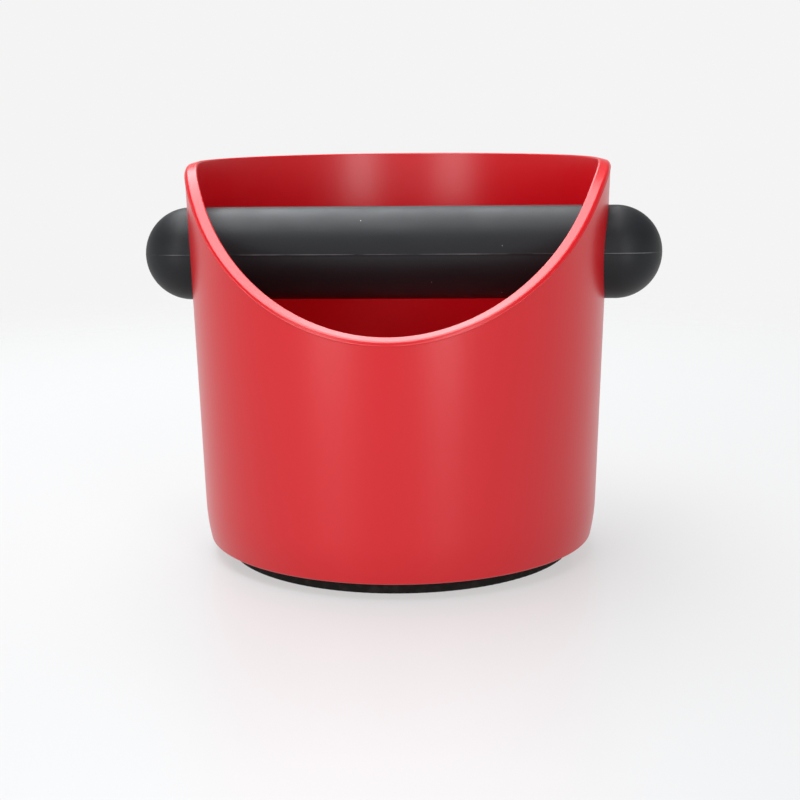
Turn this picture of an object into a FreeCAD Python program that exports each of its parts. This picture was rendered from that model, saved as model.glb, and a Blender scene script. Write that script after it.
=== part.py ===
"""Countertop knock box for espresso grounds.

A drafted round tub stands on a soft ring that plugs into a groove under its floor. The front of
the tub is scooped away. A rubber-covered steel bar passes through two round holes in the side
walls and slides out sideways for cleaning.

Frame: millimetres, +Z up, origin on the resting plane at the tub's axis. The bar lies along X
and the scoop faces -Y.
"""
import FreeCAD
import Part
import Sketcher
import math
import os

from FreeCAD import Placement, Rotation, Vector

# name in the sheet: (value in mm or degrees, what it is)
SIZES = {
    "rim_height": (130.8, "top of the rim above the resting plane"),
    "rim_radius": (69.9, "outer radius of the tub at the rim, before its edge is rounded"),
    "draft": (1.7, "angle of the wall from vertical, in degrees"),
    "wall": (4.0, "thickness of the wall"),
    "floor": (4.0, "thickness of the floor"),
    "stand_off": (5.0, "height of the tub's underside above the resting plane"),
    "toe_height": (17.6, "height where the wall starts to curve in to the underside"),
    "toe_inset": (1.2, "how far that curve brings the underside's edge in from the wall's line"),
    "toe_edge": (0.8, "rounding of the edge of the underside"),
    "inner_corner": (9.0, "radius between the inside of the wall and the floor"),
    "scoop_drop": (49.4, "depth of the lip at the front below the rim"),
    "scoop_slope": (45.0, "slope of the scoop seen from the side, in degrees"),
    "scoop_blend": (35.0, "radius where the scoop runs out into the level rim"),
    "lip_tilt": (15.0, "fall of the lip towards the outside of the wall, in degrees"),
    "lip_outer": (1.2, "rounding of the lip's outer edge"),
    "lip_inner": (0.5, "rounding of the lip's inner edge"),
    "trim": (4.0, "stock above the rim, taken off when the lip is cut"),
    "bar_overhang": (17.3, "how far each tip of the bar, when centred, stands out past the wall"),
    "bar_radius": (15.5, "outside of the bar's rubber cover"),
    "bar_drop": (30.9, "depth of the bar's axis below the rim"),
    "bar_offset": (1.25, "how far the bar has been pushed towards +X at rest"),
    "bar_clearance": (0.1, "radial clearance of the bar in the tub's two holes"),
    "core_radius": (8.0, "steel core of the bar"),
    "core_cover": (16.0, "rubber between each end of the core and the bar's tip"),
    "core_chamfer": (1.0, "chamfer on both ends of the core"),
    "ring_inset": (6.5, "how far the base ring's outside sits in from the underside's edge"),
    "ring_width": (10.0, "radial width of the base ring"),
    "ring_edge": (0.6, "rounding of the ring's outer and inner lower edges"),
    "tongue_width": (3.0, "width of the tongue that holds the ring"),
    "tongue_height": (2.0, "height of that tongue"),
    "tongue_side_gap": (0.05, "gap on each side of the tongue in its groove"),
    "tongue_end_gap": (0.2, "gap above the tongue in its groove"),
}
# name in the sheet: (formula, what it is)
DERIVED = {
    "taper": ("tan(draft)", "change of radius for each mm of height"),
    "underside_radius": ("rim_radius - (rim_height - stand_off) * taper - toe_inset",
                         "radius of the underside's edge, before it is rounded"),
    "scoop_low": ("rim_height - scoop_drop", "height of the lip at the front"),
    "bar_height": ("rim_height - bar_drop", "height of the bar's axis"),
    "bar_length": ("2 * (rim_radius - bar_drop * taper + bar_overhang)", "bar from tip to tip"),
    "hole_radius": ("bar_radius + bar_clearance", "radius of the tub's holes for the bar"),
    "core_length": ("bar_length - 2 * core_cover", "steel core, end to end"),
    "ring_radius": ("underside_radius - ring_inset", "outer radius of the base ring"),
    "ring_inner": ("ring_radius - ring_width", "inner radius of the base ring"),
    "tongue_inner": ("ring_radius - (ring_width + tongue_width) / 2", "inner radius of the tongue"),
}
LIP_POINTS = 60          # points of the lip's curve, all the way round
CUT_REACH = (0.7, 1.3)   # where the surface that cuts the lip starts and ends, in rim radii
EDGE_NEAR = 0.01         # an edge this near its expected place, in mm, is the one meant
LIP_NEAR = 0.05          # the same for the lip's edges, which follow a fitted curve
SHEET = "sizes"          # name of the sheet in expressions

doc = FreeCAD.newDocument("knock_box")


def make_sheet():
    """The sheet: one row for each driving dimension, then the sizes that follow from them."""
    sheet = doc.addObject("Spreadsheet::Sheet", SHEET)
    rows = [(name, str(value), meaning) for name, (value, meaning) in SIZES.items()]
    rows += [(name, "=" + formula, meaning) for name, (formula, meaning) in DERIVED.items()]
    for row, (name, content, meaning) in enumerate(rows, start=1):
        sheet.set(f"A{row}", name)
        sheet.set(f"B{row}", content)
        sheet.set(f"C{row}", meaning)
        sheet.setAlias(f"B{row}", name)
        doc.recompute()
    return sheet


def size(name):
    """One size, read back from the sheet."""
    return float(sheet.get(name))


def cell(name):
    """The same size as it is written in an expression."""
    return f"{SHEET}.{name}"


def origin_plane(body, role):
    """One of a body's own origin planes."""
    return next(item for item in body.Origin.OriginFeatures if item.Role == role)


def side_sketch(body, name):
    """An empty sketch on the body's XZ plane: its x is along X, its y is along Z."""
    sketch = body.newObject("Sketcher::SketchObject", name)
    sketch.AttachmentSupport = [(origin_plane(body, "XZ_Plane"), "")]
    sketch.MapMode = "FlatFace"
    return sketch


def constrain(sketch, kind, *refs, drive=None, name=None):
    """Add a constraint, and bind it to an expression where one is given."""
    index = sketch.addConstraint(Sketcher.Constraint(kind, *refs))
    if name:
        sketch.renameConstraint(index, name)
        sketch.setExpression(f"Constraints.{name}", drive)


def rectangle(sketch, left, right, low, high):
    """Four lines, joined and square: bottom, right, top, left. Returns their numbers.

    It is drawn near its place, and place_rectangle then drives it.
    """
    corners = [Vector(left, low), Vector(right, low), Vector(right, high), Vector(left, high)]
    sides = []
    for start, end in zip(corners, corners[1:] + corners[:1]):
        sides.append(sketch.addGeometry(Part.LineSegment(start, end)))
    for side, following in zip(sides, sides[1:] + sides[:1]):
        constrain(sketch, "Coincident", side, 2, following, 1)
    constrain(sketch, "Horizontal", sides[0])
    constrain(sketch, "Vertical", sides[1])
    constrain(sketch, "Horizontal", sides[2])
    constrain(sketch, "Vertical", sides[3])
    return sides


def place_rectangle(sketch, sides, left, width, low, height):
    """Bind a rectangle's place and size to four expressions."""
    constrain(sketch, "DistanceX", -1, 1, sides[0], 1, 1.0, drive=left, name="left")
    constrain(sketch, "DistanceX", sides[0], 1, sides[0], 2, 1.0, drive=width, name="width")
    constrain(sketch, "DistanceY", -1, 1, sides[0], 1, 1.0, drive=low, name="low")
    constrain(sketch, "DistanceY", sides[1], 1, sides[1], 2, 1.0, drive=height, name="height")


def revolve(body, sketch, kind, name, axis):
    """Turn a sketch all the way round one of its own axes."""
    feature = body.newObject(kind, name)
    feature.Profile = sketch
    feature.ReferenceAxis = (sketch, [axis])
    feature.Angle = 360.0
    doc.recompute()
    return feature


def edge_names(shape, wanted):
    """Names of the edges for which wanted(edge) is true."""
    return [f"Edge{i}" for i, edge in enumerate(shape.Edges, start=1) if wanted(edge)]


def is_ring(edge, height, radius):
    """True for a full circle about Z at that height and radius."""
    middle = edge.BoundBox.Center
    level = abs(middle.z - height) < EDGE_NEAR and edge.BoundBox.ZLength < EDGE_NEAR
    return level and abs(edge.BoundBox.XLength / 2 - radius) < EDGE_NEAR


# ---- tub -------------------------------------------------------------------------------------

def wall_radius(height):
    """Outer radius of the tub's straight wall at a height."""
    return size("rim_radius") - (size("rim_height") - height) * size("taper")


def inner_radius(height):
    """Inner radius of the same wall."""
    return wall_radius(height) - size("wall") / math.cos(math.radians(size("draft")))


def tub_profile(body):
    """Half section of the tub with stock above its rim: underside, wall, inside, floor."""
    sketch = side_sketch(body, "tub_section")
    draft = math.radians(size("draft"))
    low = size("stand_off")
    floor = low + size("floor")
    top = size("rim_height") + size("trim")
    edge = Vector(size("underside_radius"), low)
    toe = Vector(wall_radius(size("toe_height")), size("toe_height"))
    inward = Vector(-math.cos(draft), math.sin(draft))
    toe_r = (edge - toe).Length ** 2 / (2 * (edge - toe).dot(inward))
    toe_centre = toe + inward * toe_r
    edge_angle = math.asin((low - toe_centre.y) / toe_r)
    corner_r = size("inner_corner")
    corner_height = floor + corner_r
    corner_centre = Vector(inner_radius(corner_height) - corner_r / math.cos(draft), corner_height)
    corner_wall = corner_centre + Vector(corner_r * math.cos(draft), -corner_r * math.sin(draft))
    corner_floor = corner_centre - Vector(0, corner_r)
    rim_outer = Vector(wall_radius(top), top)
    rim_inner = Vector(inner_radius(top), top)

    def line(start, end):
        return sketch.addGeometry(Part.LineSegment(start, end))

    def arc(centre, radius, start, end):
        circle = Part.Circle(centre, Vector(0, 0, 1), radius)
        return sketch.addGeometry(Part.ArcOfCircle(circle, start, end))

    under = line(Vector(0, low), edge)
    toe_arc = arc(toe_centre, toe_r, edge_angle, -draft)
    outside = line(toe, rim_outer)
    rim = line(rim_outer, rim_inner)
    inside = line(rim_inner, corner_wall)
    corner = arc(corner_centre, corner_r, -math.pi / 2, -draft)
    bottom = line(corner_floor, Vector(0, floor))
    axis = line(Vector(0, floor), Vector(0, low))

    constrain(sketch, "Coincident", under, 2, toe_arc, 1)
    constrain(sketch, "Tangent", toe_arc, 2, outside, 1)
    constrain(sketch, "Coincident", outside, 2, rim, 1)
    constrain(sketch, "Coincident", rim, 2, inside, 1)
    constrain(sketch, "Tangent", inside, 2, corner, 2)
    constrain(sketch, "Tangent", corner, 1, bottom, 1)
    constrain(sketch, "Coincident", bottom, 2, axis, 1)
    constrain(sketch, "Coincident", axis, 2, under, 1)
    constrain(sketch, "Horizontal", under)
    constrain(sketch, "Horizontal", rim)
    constrain(sketch, "Horizontal", bottom)
    constrain(sketch, "Parallel", outside, inside)
    constrain(sketch, "PointOnObject", axis, 1, -2)
    constrain(sketch, "PointOnObject", axis, 2, -2)
    constrain(sketch, "DistanceY", -1, 1, under, 1, low, drive=cell("stand_off"), name="low")
    constrain(sketch, "DistanceY", under, 1, bottom, 2, size("floor"), drive=cell("floor"), name="floor")
    constrain(sketch, "DistanceX", -1, 1, under, 2, edge.x, drive=cell("underside_radius"), name="under")
    constrain(sketch, "DistanceY", -1, 1, outside, 1, toe.y, drive=cell("toe_height"), name="toe_height")
    constrain(sketch, "Angle", outside, math.pi / 2 - draft, drive=f"90 - {cell('draft')}", name="draft")
    constrain(sketch, "Distance", rim, 2, outside, size("wall"), drive=cell("wall"), name="wall")
    constrain(sketch, "Radius", corner, corner_r, drive=cell("inner_corner"), name="corner")
    stock_radius = f"{cell('rim_radius')} + {cell('trim')} * {cell('taper')}"
    constrain(sketch, "DistanceX", -1, 1, rim, 1, rim_outer.x, drive=stock_radius, name="rim_radius")
    stock_height = f"{cell('rim_height')} + {cell('trim')}"
    constrain(sketch, "DistanceY", -1, 1, rim, 1, top, drive=stock_height, name="rim_height")
    return sketch


def make_tub_blank():
    """The tub before its lip is cut: a turned shell with the groove for the base ring."""
    body = doc.addObject("PartDesign::Body", "tub_blank")
    revolve(body, tub_profile(body), "PartDesign::Revolution", "shell", "V_Axis")

    sketch = side_sketch(body, "groove_section")
    sides = rectangle(sketch, 52.0, 55.0, 0.0, 7.0)
    left = f"{cell('tongue_inner')} - {cell('tongue_side_gap')}"
    width = f"{cell('tongue_width')} + 2 * {cell('tongue_side_gap')}"
    height = f"{cell('stand_off')} + {cell('tongue_height')} + {cell('tongue_end_gap')}"
    place_rectangle(sketch, sides, left, width, "0", height)
    groove = revolve(body, sketch, "PartDesign::Groove", "ring_groove", "V_Axis")

    toe_edge = body.newObject("PartDesign::Fillet", "toe_edge")
    wanted = edge_names(groove.Shape, lambda edge: is_ring(edge, size("stand_off"), size("underside_radius")))
    toe_edge.Base = (groove, wanted)
    toe_edge.setExpression("Radius", cell("toe_edge"))
    body.Tip = toe_edge
    doc.recompute()
    return body


def scoop_height(side):
    """Height of the lip seen from the side: a slope from the front, a blend, the level rim.

    side is the place along Y of the lip's inner edge.
    """
    slope = math.radians(size("scoop_slope"))
    front = -inner_radius(size("scoop_low"))
    meets_rim = front + (size("rim_height") - size("scoop_low")) / math.tan(slope)
    run_out = size("scoop_blend") * math.tan(slope / 2)
    level_from = meets_rim + run_out
    if side >= level_from:
        return size("rim_height")
    if side <= meets_rim - run_out * math.cos(slope):
        return size("scoop_low") + (side - front) * math.tan(slope)
    drop = math.sqrt(size("scoop_blend") ** 2 - (level_from - side) ** 2)
    return size("rim_height") - size("scoop_blend") + drop


def lip_height(angle, radius):
    """Height of the tilted lip at an angle about the tub's axis, 0 at the front, and a radius."""
    height = size("rim_height")
    for _ in range(4):
        height = scoop_height(-inner_radius(height) * math.cos(angle))
    return height - (radius - inner_radius(height)) * math.tan(math.radians(size("lip_tilt")))


def lip_curve(radius):
    """The closed curve where the lip's surface, carried on in or out, reaches a radius."""
    points = []
    for step in range(LIP_POINTS):
        angle = 2 * math.pi * (step + 0.5) / LIP_POINTS
        height = lip_height(angle, radius)
        points.append(Vector(radius * math.sin(angle), -radius * math.cos(angle), height))
    curve = Part.BSplineCurve()
    curve.interpolate(Points=points, PeriodicFlag=True)
    return curve.toShape()


def make_lip_stock():
    """Everything above the lip: tilted spokes across the wall, swept upwards."""
    start, end = (lip_curve(size("rim_radius") * reach) for reach in CUT_REACH)
    spokes = Part.makeRuledSurface(start, end)
    stock = doc.addObject("Part::Feature", "lip_stock")
    stock.Shape = spokes.extrude(Vector(0, 0, size("rim_height")))
    stock.Placement = Placement()
    return stock


def on_lip(edge, radius_at):
    """True for an edge that runs along the lip on the outer or inner side of the wall."""
    middle = edge.valueAt((edge.FirstParameter + edge.LastParameter) / 2)
    angle = math.atan2(middle.x, -middle.y)
    radius = math.hypot(middle.x, middle.y)
    on_side = abs(radius - radius_at(middle.z)) < LIP_NEAR
    return on_side and abs(middle.z - lip_height(angle, radius)) < LIP_NEAR


def make_tub():
    """The finished tub: lip cut and rounded on both edges, and a hole each side for the bar."""
    cut = doc.addObject("Part::Cut", "tub_scooped")
    cut.Base = make_tub_blank()
    cut.Tool = make_lip_stock()
    doc.recompute()

    tub = doc.addObject("PartDesign::Body", "tub")
    tub.BaseFeature = cut
    doc.recompute()
    feature = tub.Tip
    for name, radius_at in (("lip_outer", wall_radius), ("lip_inner", inner_radius)):
        rounding = tub.newObject("PartDesign::Fillet", name + "_edge")
        wanted = edge_names(feature.Shape, lambda edge: on_lip(edge, radius_at))
        rounding.Base = (feature, wanted)
        rounding.setExpression("Radius", cell(name))
        doc.recompute()
        feature = rounding

    sketch = tub.newObject("Sketcher::SketchObject", "bar_hole_circle")
    sketch.AttachmentSupport = [(origin_plane(tub, "YZ_Plane"), "")]
    sketch.MapMode = "FlatFace"
    centre = Vector(0, size("bar_height"))
    circle = sketch.addGeometry(Part.Circle(centre, Vector(0, 0, 1), size("hole_radius")))
    constrain(sketch, "PointOnObject", circle, 3, -2)
    constrain(sketch, "DistanceY", -1, 1, circle, 3, centre.y, drive=cell("bar_height"), name="height")
    constrain(sketch, "Radius", circle, size("hole_radius"), drive=cell("hole_radius"), name="radius")
    hole = tub.newObject("PartDesign::Pocket", "bar_holes")
    hole.Profile = sketch
    hole.Midplane = True
    hole.Type = "ThroughAll"
    tub.Tip = hole
    doc.recompute()
    return tub


# ---- base ring -------------------------------------------------------------------------------

def make_base_ring():
    """Soft ring under the tub, with the tongue that plugs into the tub's groove."""
    ring = doc.addObject("PartDesign::Body", "base_ring")
    foot = side_sketch(ring, "foot_section")
    sides = rectangle(foot, 48.0, 58.0, 0.0, 5.0)
    place_rectangle(foot, sides, cell("ring_inner"), cell("ring_width"), "0", cell("stand_off"))
    revolve(ring, foot, "PartDesign::Revolution", "foot", "V_Axis")

    section = side_sketch(ring, "tongue_section")
    sides = rectangle(section, 52.0, 55.0, 5.0, 7.0)
    place_rectangle(section, sides, cell("tongue_inner"), cell("tongue_width"),
                    cell("stand_off"), cell("tongue_height"))
    tongue = revolve(ring, section, "PartDesign::Revolution", "tongue", "V_Axis")

    edges = ring.newObject("PartDesign::Fillet", "lower_edges")
    wanted = edge_names(tongue.Shape, lambda edge: is_ring(edge, 0.0, size("ring_radius")))
    wanted += edge_names(tongue.Shape, lambda edge: is_ring(edge, 0.0, size("ring_inner")))
    edges.Base = (tongue, wanted)
    edges.setExpression("Radius", cell("ring_edge"))
    ring.Tip = edges
    doc.recompute()
    return ring


# ---- knock bar -------------------------------------------------------------------------------

def place_on_bar_axis(body):
    """Put a piece that is modelled about X on the bar's axis."""
    body.setExpression("Placement.Base.x", cell("bar_offset"))
    body.setExpression("Placement.Base.z", cell("bar_height"))


def make_bar_core():
    """Round steel rod inside the bar."""
    core = doc.addObject("PartDesign::Body", "bar_core")
    sketch = side_sketch(core, "rod_section")
    sides = rectangle(sketch, -70.0, 70.0, 0.0, 8.0)
    length = cell("core_length")
    place_rectangle(sketch, sides, f"-{length} / 2", length, "0", cell("core_radius"))
    rod = revolve(core, sketch, "PartDesign::Revolution", "rod", "H_Axis")

    ends = core.newObject("PartDesign::Chamfer", "rod_ends")
    half = size("core_length") / 2

    def at_end(edge):
        box = edge.BoundBox
        across = box.XLength < EDGE_NEAR and box.ZLength > size("core_radius")
        return across and abs(abs(box.Center.x) - half) < EDGE_NEAR

    ends.Base = (rod, edge_names(rod.Shape, at_end))
    ends.setExpression("Size", cell("core_chamfer"))
    core.Tip = ends
    place_on_bar_axis(core)
    doc.recompute()
    return core


def make_bar_blank():
    """The bar's outer form: a cylinder with half-round ends."""
    blank = doc.addObject("PartDesign::Body", "bar_blank")
    sketch = side_sketch(blank, "bar_section")
    radius = size("bar_radius")
    half = size("bar_length") / 2
    straight = half - radius

    def end_arc(centre, start, end):
        circle = Part.Circle(Vector(centre, 0), Vector(0, 0, 1), radius)
        return sketch.addGeometry(Part.ArcOfCircle(circle, start, end))

    axis = sketch.addGeometry(Part.LineSegment(Vector(-half, 0), Vector(half, 0)))
    right = end_arc(straight, 0.0, math.pi / 2)
    top = sketch.addGeometry(Part.LineSegment(Vector(straight, radius), Vector(-straight, radius)))
    left = end_arc(-straight, math.pi / 2, math.pi)
    constrain(sketch, "Coincident", axis, 2, right, 1)
    constrain(sketch, "Tangent", right, 2, top, 1)
    constrain(sketch, "Tangent", top, 2, left, 1)
    constrain(sketch, "Coincident", left, 2, axis, 1)
    constrain(sketch, "PointOnObject", axis, 1, -1)
    constrain(sketch, "PointOnObject", axis, 2, -1)
    constrain(sketch, "PointOnObject", right, 3, -1)
    constrain(sketch, "PointOnObject", left, 3, -1)
    constrain(sketch, "Radius", right, radius, drive=cell("bar_radius"), name="radius")
    length = cell("bar_length")
    constrain(sketch, "DistanceX", axis, 1, axis, 2, 2 * half, drive=length, name="length")
    constrain(sketch, "DistanceX", axis, 1, -1, 1, half, drive=f"{length} / 2", name="half_length")
    revolve(blank, sketch, "PartDesign::Revolution", "capsule", "H_Axis")
    place_on_bar_axis(blank)
    doc.recompute()
    return blank


def make_bar_cover(core):
    """Rubber moulded around the core in one piece, closed at both ends."""
    cover = doc.addObject("Part::Cut", "bar_cover")
    cover.Base = make_bar_blank()
    cover.Tool = core
    doc.recompute()
    return cover


# ---- check and write -------------------------------------------------------------------------

def check(pieces):
    """Stop if any object failed or any piece isn't one sound solid."""
    for item in doc.Objects:
        if "Invalid" in item.State or "Error" in item.State:
            raise RuntimeError(f"{item.Name} failed: {item.State}")
    for piece in pieces:
        shape = piece.Shape
        if shape.isNull() or not shape.isValid() or len(shape.Solids) != 1:
            raise RuntimeError(f"{piece.Label} isn't one sound solid")


def write(pieces):
    """One file for each piece, named after it."""
    os.makedirs("parts", exist_ok=True)
    for piece in pieces:
        piece.Shape.exportStep(f"parts/{piece.Label}.step")


sheet = make_sheet()
tub = make_tub()
base_ring = make_base_ring()
bar_core = make_bar_core()
bar_cover = make_bar_cover(bar_core)
pieces = [tub, base_ring, bar_cover, bar_core]
doc.recompute()
check(pieces)
write(pieces)
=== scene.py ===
"""Countertop knock box: a scooped red tub on a rubber ring, with a rubber-covered bar through it."""
import bpy
import math
from mathutils import Matrix, Vector


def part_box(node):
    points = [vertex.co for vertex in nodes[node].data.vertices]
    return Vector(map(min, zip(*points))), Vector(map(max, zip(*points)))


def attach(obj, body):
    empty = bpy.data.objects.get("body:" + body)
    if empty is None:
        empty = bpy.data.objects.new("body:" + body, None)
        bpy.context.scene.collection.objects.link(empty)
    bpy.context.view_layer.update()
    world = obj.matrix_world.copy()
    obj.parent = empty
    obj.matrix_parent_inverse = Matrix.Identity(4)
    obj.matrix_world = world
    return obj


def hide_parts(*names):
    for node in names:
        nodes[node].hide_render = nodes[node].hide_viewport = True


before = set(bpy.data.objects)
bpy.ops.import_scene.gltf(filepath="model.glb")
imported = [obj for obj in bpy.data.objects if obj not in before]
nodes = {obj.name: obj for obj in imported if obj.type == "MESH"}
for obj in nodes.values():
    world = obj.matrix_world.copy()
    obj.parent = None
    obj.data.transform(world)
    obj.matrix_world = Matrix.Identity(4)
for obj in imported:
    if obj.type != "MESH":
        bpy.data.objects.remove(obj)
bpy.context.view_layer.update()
bpy.ops.object.select_all(action="DESELECT")

# ---- camera ----------------------------------------------------------------------------------
# A camera half a metre in front of the tub's axis, a little above the rim and to the right of
# the middle, level but for a slight roll.
CAMERA_PLACE = Vector((0.02927, -0.49914, 0.14878))
CAMERA_YAW = math.radians(3.35)
CAMERA_PITCH = math.radians(11.22)
CAMERA_ROLL = math.radians(-0.60)
LENS_MM = 67.27
SENSOR_MM = 36.0

bpy.ops.object.camera_add()
camera = bpy.context.object
camera.name = "camera"
aim = Matrix.Rotation(CAMERA_YAW, 4, "Z") @ Matrix.Rotation(math.pi / 2 - CAMERA_PITCH, 4, "X")
camera.matrix_world = Matrix.Translation(CAMERA_PLACE) @ aim @ Matrix.Rotation(CAMERA_ROLL, 4, "Z")
camera.data.lens = LENS_MM
camera.data.sensor_width = SENSOR_MM
bpy.context.scene.camera = camera

# ---- counter ---------------------------------------------------------------------------------
# A white lit table: more than half of its white is its own light, so shadows on it stay faint.
# It fades into the white of the room a short way out, so no edge or horizon shows.
COUNTER_SIZE = 3.0
COUNTER_WHITE = (0.20, 0.20, 0.20, 1)
COUNTER_GLOW = 0.52
COUNTER_ROUGHNESS = 0.35
COUNTER_SPECULAR = 0.25
FADE_FROM = 0.30
FADE_TO = 0.75


def feed(tree, node, inputs):
    """Join each named input of a node to the output given for it, or set it to the value given."""
    for name, source in inputs.items():
        if isinstance(source, bpy.types.NodeSocket):
            tree.links.new(source, node.inputs[name])
        else:
            node.inputs[name].default_value = source


def add_node(tree, kind, inputs, **options):
    """Add a node to a tree, with its options set and its inputs fed."""
    node = tree.nodes.new("ShaderNode" + kind)
    for option, value in options.items():
        setattr(node, option, value)
    feed(tree, node, inputs)
    return node


def ramp(tree, value, span, results, **options):
    """The value where it lies in its span, carried over to the span of results."""
    ends = {"From Min": span[0], "From Max": span[1], "To Min": results[0], "To Max": results[1]}
    return add_node(tree, "MapRange", {"Value": value, **ends}, **options).outputs["Result"]


def new_material(name):
    """A new material, with its node tree, its shader and the place of each point on its piece."""
    material = bpy.data.materials.new(name)
    material.use_nodes = True
    tree = material.node_tree
    place = add_node(tree, "TexCoord", {}).outputs["Object"]
    return material, tree, tree.nodes["Principled BSDF"], place


bpy.ops.mesh.primitive_plane_add(size=COUNTER_SIZE)
counter = bpy.context.object
counter.name = "counter"
lit_table, tree, shader, place = new_material("lit_table")
reach = add_node(tree, "VectorMath", {0: place}, operation="LENGTH")
feed(tree, shader, {
    "Base Color": COUNTER_WHITE,
    "Roughness": COUNTER_ROUGHNESS,
    "Specular IOR Level": COUNTER_SPECULAR,
    "Emission Color": (1, 1, 1, 1),
    "Emission Strength": COUNTER_GLOW,
    "Alpha": ramp(tree, reach.outputs["Value"], (FADE_FROM, FADE_TO), (1.0, 0.0),
                  interpolation_type="SMOOTHSTEP"),
})
counter.data.materials.append(lit_table)

# ---- light -----------------------------------------------------------------------------------
# A white backdrop that dims overhead, a large soft box above and behind the tub, and two
# upright strip lights in front that draw the two streaks down the tub.
ROOM_LOW = 0.905
ROOM_HIGH = 0.25
ROOM_SEEN = 0.905
HIGH_FROM = 0.45
DAYLIGHT = (0.94, 0.97, 1.0)

# name, middle, width, height, brightness of its face, what it faces
SOFT_BOXES = (
    ("top_box", Vector((-0.22, 0.36, 1.05)), 0.80, 1.80, 6.4, Vector((-0.22, 0.36, 0.0))),
    ("left_strip", Vector((-0.52, -0.82, 0.27)), 0.38, 1.25, 3.2, Vector((0, 0, 0.10))),
    ("right_strip", Vector((0.43, -0.86, 0.27)), 0.30, 1.25, 4.2, Vector((0, 0, 0.10))),
)

room = bpy.data.worlds.new("room")
room.use_nodes = True
tree = room.node_tree
direction = add_node(tree, "TexCoord", {}).outputs["Generated"]
upward = add_node(tree, "SeparateXYZ", {"Vector": direction}).outputs["Z"]
dimmed = ramp(tree, upward, (0.0, HIGH_FROM), (ROOM_LOW, ROOM_HIGH), interpolation_type="SMOOTHSTEP")
looking = add_node(tree, "LightPath", {}).outputs["Is Camera Ray"]
seen = add_node(tree, "Mix", {"Factor": looking, "A": dimmed, "B": ROOM_SEEN})
feed(tree, tree.nodes["Background"], {"Color": (1, 1, 1, 1), "Strength": seen.outputs["Result"]})
bpy.context.scene.world = room
bpy.context.scene.view_settings.view_transform = "Standard"

for name, middle, width, height, brightness, target in SOFT_BOXES:
    bpy.ops.object.light_add(type="AREA", location=middle)
    soft_box = bpy.context.object
    soft_box.name = name
    soft_box.data.shape = "RECTANGLE"
    soft_box.data.size = width
    soft_box.data.size_y = height
    soft_box.data.color = DAYLIGHT
    soft_box.data.energy = brightness * math.pi * width * height
    soft_box.rotation_euler = (target - middle).to_track_quat("-Z", "Y").to_euler()
    soft_box.visible_camera = False

# ---- tub -------------------------------------------------------------------------------------
# One injection moulding in red ABS, satin with a very fine grain from the mould. Its shape is
# the CAD node's own.
ABS_RED = (0.53, 0.0020, 0.007, 1)
ABS_RED_DEEP = (0.50, 0.0018, 0.006, 1)
ABS_ROUGHNESS = 0.30
MOTTLE_PER_METRE = 18.0
GRAIN_PER_METRE = 1500.0
GRAIN_DEPTH = 0.00005
GRAIN_STRENGTH = 0.35


def noise(tree, place, per_metre, detail):
    """Soft random patches, so many to the metre."""
    patches = add_node(tree, "TexNoise", {"Vector": place, "Scale": per_metre, "Detail": detail})
    return patches.outputs["Fac"]


def mix_colours(tree, factor, first, second):
    """The first colour where the factor is 0, turning into the second where it is 1."""
    mix = add_node(tree, "Mix", {"Factor": factor, "A": first, "B": second}, data_type="RGBA")
    return mix.outputs["Result"]


def grained(tree, grain, strength, depth):
    """The normal of a surface with a fine grain."""
    bump = add_node(tree, "Bump", {"Height": grain, "Strength": strength, "Distance": depth})
    return bump.outputs["Normal"]


def dress(node, material):
    """Give a CAD node a material in place of its plain one."""
    node.data.materials.clear()
    node.data.materials.append(material)


red_abs, tree, shader, place = new_material("red_abs")
mottle = noise(tree, place, MOTTLE_PER_METRE, 3.0)
grain = noise(tree, place, GRAIN_PER_METRE, 2.0)
feed(tree, shader, {
    "Base Color": mix_colours(tree, mottle, ABS_RED, ABS_RED_DEEP),
    "Roughness": ABS_ROUGHNESS,
    "Normal": grained(tree, grain, GRAIN_STRENGTH, GRAIN_DEPTH),
})
dress(nodes["tub"], red_abs)

# ---- lip line --------------------------------------------------------------------------------
# Where the two halves of the tub's mould meet, just under the rounded outside of the lip, they
# leave a fine raised line in the same red ABS, all the way round.
LIP_MIDDLE = 0.0666
LIP_TILT = math.radians(15)
LIP_ROUNDING = 0.0012
LIP_LINE_RADIUS = 0.00028
LIP_LINE_SUNK = 0.00013
LIP_LINE_POINTS = 240
LIP_LINE_FACETS = 2
SMOOTHINGS = 4
DOWN = Vector((0, 0, -1))

tub_low, tub_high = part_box("tub")
bpy.ops.mesh.primitive_circle_add(
    vertices=LIP_LINE_POINTS, radius=tub_high.y, location=(0, 0, tub_high.z))
lip_line = bpy.context.object
lip_line.name = "lip_parting_line"
bpy.ops.object.transform_apply(location=True, rotation=True, scale=True)

# the height of the lip's middle at each point of the line, evened out over its neighbours
outwards = [Vector((vertex.co.x, vertex.co.y, 0)).normalized() for vertex in lip_line.data.vertices]
heights = []
for outward in outwards:
    above = outward * LIP_MIDDLE + Vector((0, 0, 2 * tub_high.z))
    heights.append(nodes["tub"].ray_cast(above, DOWN)[1].z)
for _ in range(SMOOTHINGS):
    before = heights[-1:] + heights[:-1]
    after = heights[1:] + heights[:1]
    heights = [(a + 2 * b + c) / 4 for a, b, c in zip(before, heights, after)]

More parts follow.
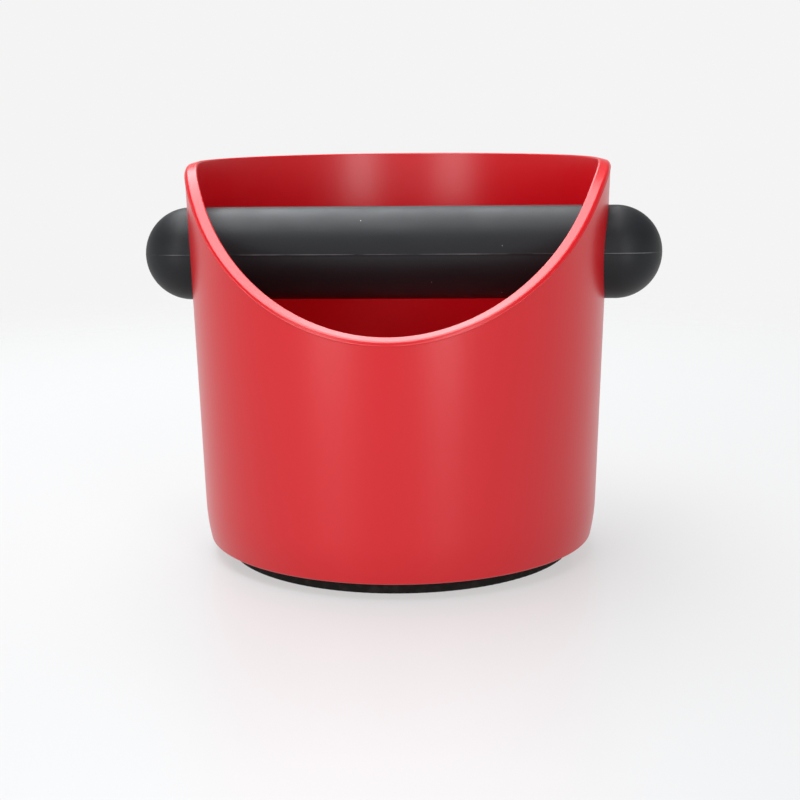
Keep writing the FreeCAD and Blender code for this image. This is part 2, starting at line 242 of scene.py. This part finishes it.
# the rounding runs out into the wall further down where the lip is steeper
step = 2 * math.pi * tub_high.y / LIP_LINE_POINTS
edge_drop = (tub_high.y - LIP_MIDDLE) * math.tan(LIP_TILT)
rounding_drop = LIP_ROUNDING * math.tan(math.pi / 4 - LIP_TILT / 2)
for index, vertex in enumerate(lip_line.data.vertices):
    slope = (heights[(index + 1) % LIP_LINE_POINTS] - heights[index - 1]) / (2 * step)
    height = heights[index] - edge_drop - rounding_drop * math.sqrt(1 + slope ** 2)
    outside = outwards[index] * 2 * tub_high.y + Vector((0, 0, height))
    on_wall = nodes["tub"].ray_cast(outside, -outwards[index])[1]
    vertex.co = on_wall - outwards[index] * LIP_LINE_SUNK
bpy.ops.object.convert(target="CURVE")
lip_line.data.bevel_depth = LIP_LINE_RADIUS
lip_line.data.bevel_resolution = LIP_LINE_FACETS
bpy.ops.object.convert(target="MESH")
for vertex in lip_line.data.vertices:
    vertex.co.y = min(max(vertex.co.y, tub_low.y), tub_high.y)
bpy.ops.object.shade_smooth()
dress(lip_line, red_abs)
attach(lip_line, "housing")
bpy.ops.object.select_all(action="DESELECT")

# ---- knock bar -------------------------------------------------------------------------------
# A black rubber moulding with half-round ends over a steel rod. The two halves of its mould
# leave a fine raised line all the way round, near mid-height, as the bar sits a little turned.
bar_low, bar_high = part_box("bar_cover")
BAR_RADIUS = (bar_high.z - bar_low.z) / 2
BAR_LENGTH = bar_high.x - bar_low.x
BAR_MIDDLE = (bar_low + bar_high) / 2
BAR_SIDES = 128
BAR_TURN = math.radians(3.3)
LINE_NORMAL = Vector((0, math.sin(BAR_TURN), math.cos(BAR_TURN)))
LINE_HALF_WIDTH = 0.00018
LINE_HEIGHT = 0.00006
DOME_STEPS = 32
DOME_TIP = 0.00001
EDGE_ANGLE = math.radians(60)
MERGE_WITHIN = 0.00002

bpy.ops.mesh.primitive_cylinder_add(
    vertices=BAR_SIDES, radius=BAR_RADIUS - LINE_HEIGHT, depth=BAR_LENGTH - 2 * LINE_HEIGHT,
    location=BAR_MIDDLE, rotation=(0, math.pi / 2, 0))
bar = bpy.context.object
bar.name = "knock_bar_rubber"
bpy.ops.object.transform_apply(location=True, rotation=True, scale=True)
dome = bar.modifiers.new("dome", "BEVEL")
dome.width = BAR_RADIUS - LINE_HEIGHT - DOME_TIP
dome.segments = DOME_STEPS
dome.limit_method = "ANGLE"
dome.angle_limit = EDGE_ANGLE
bpy.ops.object.modifier_apply(modifier=dome.name)
bpy.ops.object.mode_set(mode="EDIT")
bpy.ops.mesh.select_all(action="SELECT")
bpy.ops.mesh.remove_doubles(threshold=MERGE_WITHIN)
for offset in (-LINE_HALF_WIDTH, 0.0, LINE_HALF_WIDTH):
    bpy.ops.mesh.select_all(action="SELECT")
    bpy.ops.mesh.bisect(plane_co=BAR_MIDDLE + offset * LINE_NORMAL, plane_no=LINE_NORMAL)
bpy.ops.mesh.select_all(action="DESELECT")
bpy.ops.object.mode_set(mode="OBJECT")
for vertex in bar.data.vertices:
    vertex.select = abs(LINE_NORMAL.dot(vertex.co - BAR_MIDDLE)) < LINE_HALF_WIDTH / 4
bpy.ops.object.mode_set(mode="EDIT")
bpy.ops.transform.shrink_fatten(value=LINE_HEIGHT)
bpy.ops.object.mode_set(mode="OBJECT")
bpy.ops.object.shade_smooth()

RUBBER_BLACK = (0.0085, 0.0090, 0.0105, 1)
# the paler colour that the moulding line is drawn in
RUBBER_LINE_PALE = (0.10, 0.10, 0.105, 1)
RUBBER_ROUGH = 0.52
RUBBER_RUBBED = 0.44
RUBBER_SPECULAR = 0.25
DUST = (0.42, 0.38, 0.33, 1)
DUST_CELLS_PER_METRE = 260.0
DUST_RADIUS = 0.045
DUST_RARITY = 0.85
SCUFFS_PER_METRE = 60.0
SKIN_PER_METRE = 1400.0
SKIN_DEPTH = 0.00004
SKIN_STRENGTH = 0.4


def calculate(tree, operation, first, second=0.0):
    """One sum worked out by a node."""
    return add_node(tree, "Math", {0: first, 1: second}, operation=operation).outputs[0]


charcoal_rubber, tree, shader, place = new_material("charcoal_rubber")
scuffs = noise(tree, place, SCUFFS_PER_METRE, 5.0)

# how near a point is to the moulding line, broken up into stretches by the scuff noise; along it the
# rubber is drawn paler
across = add_node(tree, "VectorMath", {0: place, 1: LINE_NORMAL}, operation="DOT_PRODUCT")
from_line = calculate(tree, "SUBTRACT", across.outputs["Value"], LINE_NORMAL.dot(BAR_MIDDLE))
away = calculate(tree, "ABSOLUTE", from_line)
on_line = ramp(tree, away, (0.5 * LINE_HALF_WIDTH, LINE_HALF_WIDTH), (1.0, 0.0))
kept = ramp(tree, scuffs, (0.42, 0.62), (0.0, 1.0))
pale_line = calculate(tree, "MULTIPLY", on_line, kept)

# pale specks of dust, one at most in each cell, and only in about one cell in seven
cells = add_node(tree, "TexVoronoi", {"Vector": place, "Scale": DUST_CELLS_PER_METRE})
speck = calculate(tree, "LESS_THAN", cells.outputs["Distance"], DUST_RADIUS)
chance = add_node(tree, "SeparateColor", {"Color": cells.outputs["Color"]}).outputs["Red"]
chosen = calculate(tree, "GREATER_THAN", chance, DUST_RARITY)
dusty = calculate(tree, "MULTIPLY", speck, chosen)

# a satin skin with a fine grain, a little shinier where hands and baskets have rubbed it
clean = mix_colours(tree, pale_line, RUBBER_BLACK, RUBBER_LINE_PALE)
skin = noise(tree, place, SKIN_PER_METRE, 3.0)
feed(tree, shader, {
    "Base Color": mix_colours(tree, dusty, clean, DUST),
    "Roughness": ramp(tree, scuffs, (0.35, 0.65), (RUBBER_ROUGH, RUBBER_RUBBED)),
    "Specular IOR Level": RUBBER_SPECULAR,
    "Normal": grained(tree, skin, SKIN_STRENGTH, SKIN_DEPTH),
})
bar.data.materials.append(charcoal_rubber)
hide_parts("bar_cover")
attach(bar, "bar")

# ---- steel core ------------------------------------------------------------------------------
# A drawn steel rod that the rubber is moulded around, so it only shows if the rubber is cut.
# Its shape is the CAD node's own, streaked along its length by the drawing.
STEEL = (0.52, 0.52, 0.53, 1)
STEEL_DULL = (0.40, 0.40, 0.41, 1)
STREAKS_PER_METRE = (20.0, 1500.0, 1500.0)
STEEL_BRIGHT_ROUGHNESS = 0.25
STEEL_DULL_ROUGHNESS = 0.45

drawn_steel, tree, shader, place = new_material("drawn_steel")
stretched = add_node(tree, "Mapping", {"Vector": place, "Scale": STREAKS_PER_METRE})
streaks = noise(tree, stretched.outputs["Vector"], 1.0, 4.0)
feed(tree, shader, {
    "Base Color": mix_colours(tree, streaks, STEEL, STEEL_DULL),
    "Metallic": 1.0,
    "Roughness": ramp(tree, streaks, (0.0, 1.0), (STEEL_BRIGHT_ROUGHNESS, STEEL_DULL_ROUGHNESS)),
})
dress(nodes["bar_core"], drawn_steel)

# ---- base ring -------------------------------------------------------------------------------
# A soft black rubber ring, pushed into the groove under the tub, that keeps it from slipping.
# Its shape is the CAD node's own: matte, a little brown, with lint in its grain.
RING_BLACK = (0.0080, 0.0068, 0.0060, 1)
RING_DUSTY = (0.0220, 0.0195, 0.0180, 1)
RING_ROUGHNESS = 0.70
RING_SPECULAR = 0.12
LINT_PER_METRE = 350.0
RING_GRAIN_PER_METRE = 1800.0
RING_GRAIN_DEPTH = 0.00006
RING_GRAIN_STRENGTH = 0.6

ring_rubber, tree, shader, place = new_material("ring_rubber")
lint = ramp(tree, noise(tree, place, LINT_PER_METRE, 6.0), (0.48, 0.75), (0.0, 1.0))
grain = noise(tree, place, RING_GRAIN_PER_METRE, 3.0)
feed(tree, shader, {
    "Base Color": mix_colours(tree, lint, RING_BLACK, RING_DUSTY),
    "Roughness": RING_ROUGHNESS,
    "Specular IOR Level": RING_SPECULAR,
    "Normal": grained(tree, grain, RING_GRAIN_STRENGTH, RING_GRAIN_DEPTH),
})
dress(nodes["base_ring"], ring_rubber)
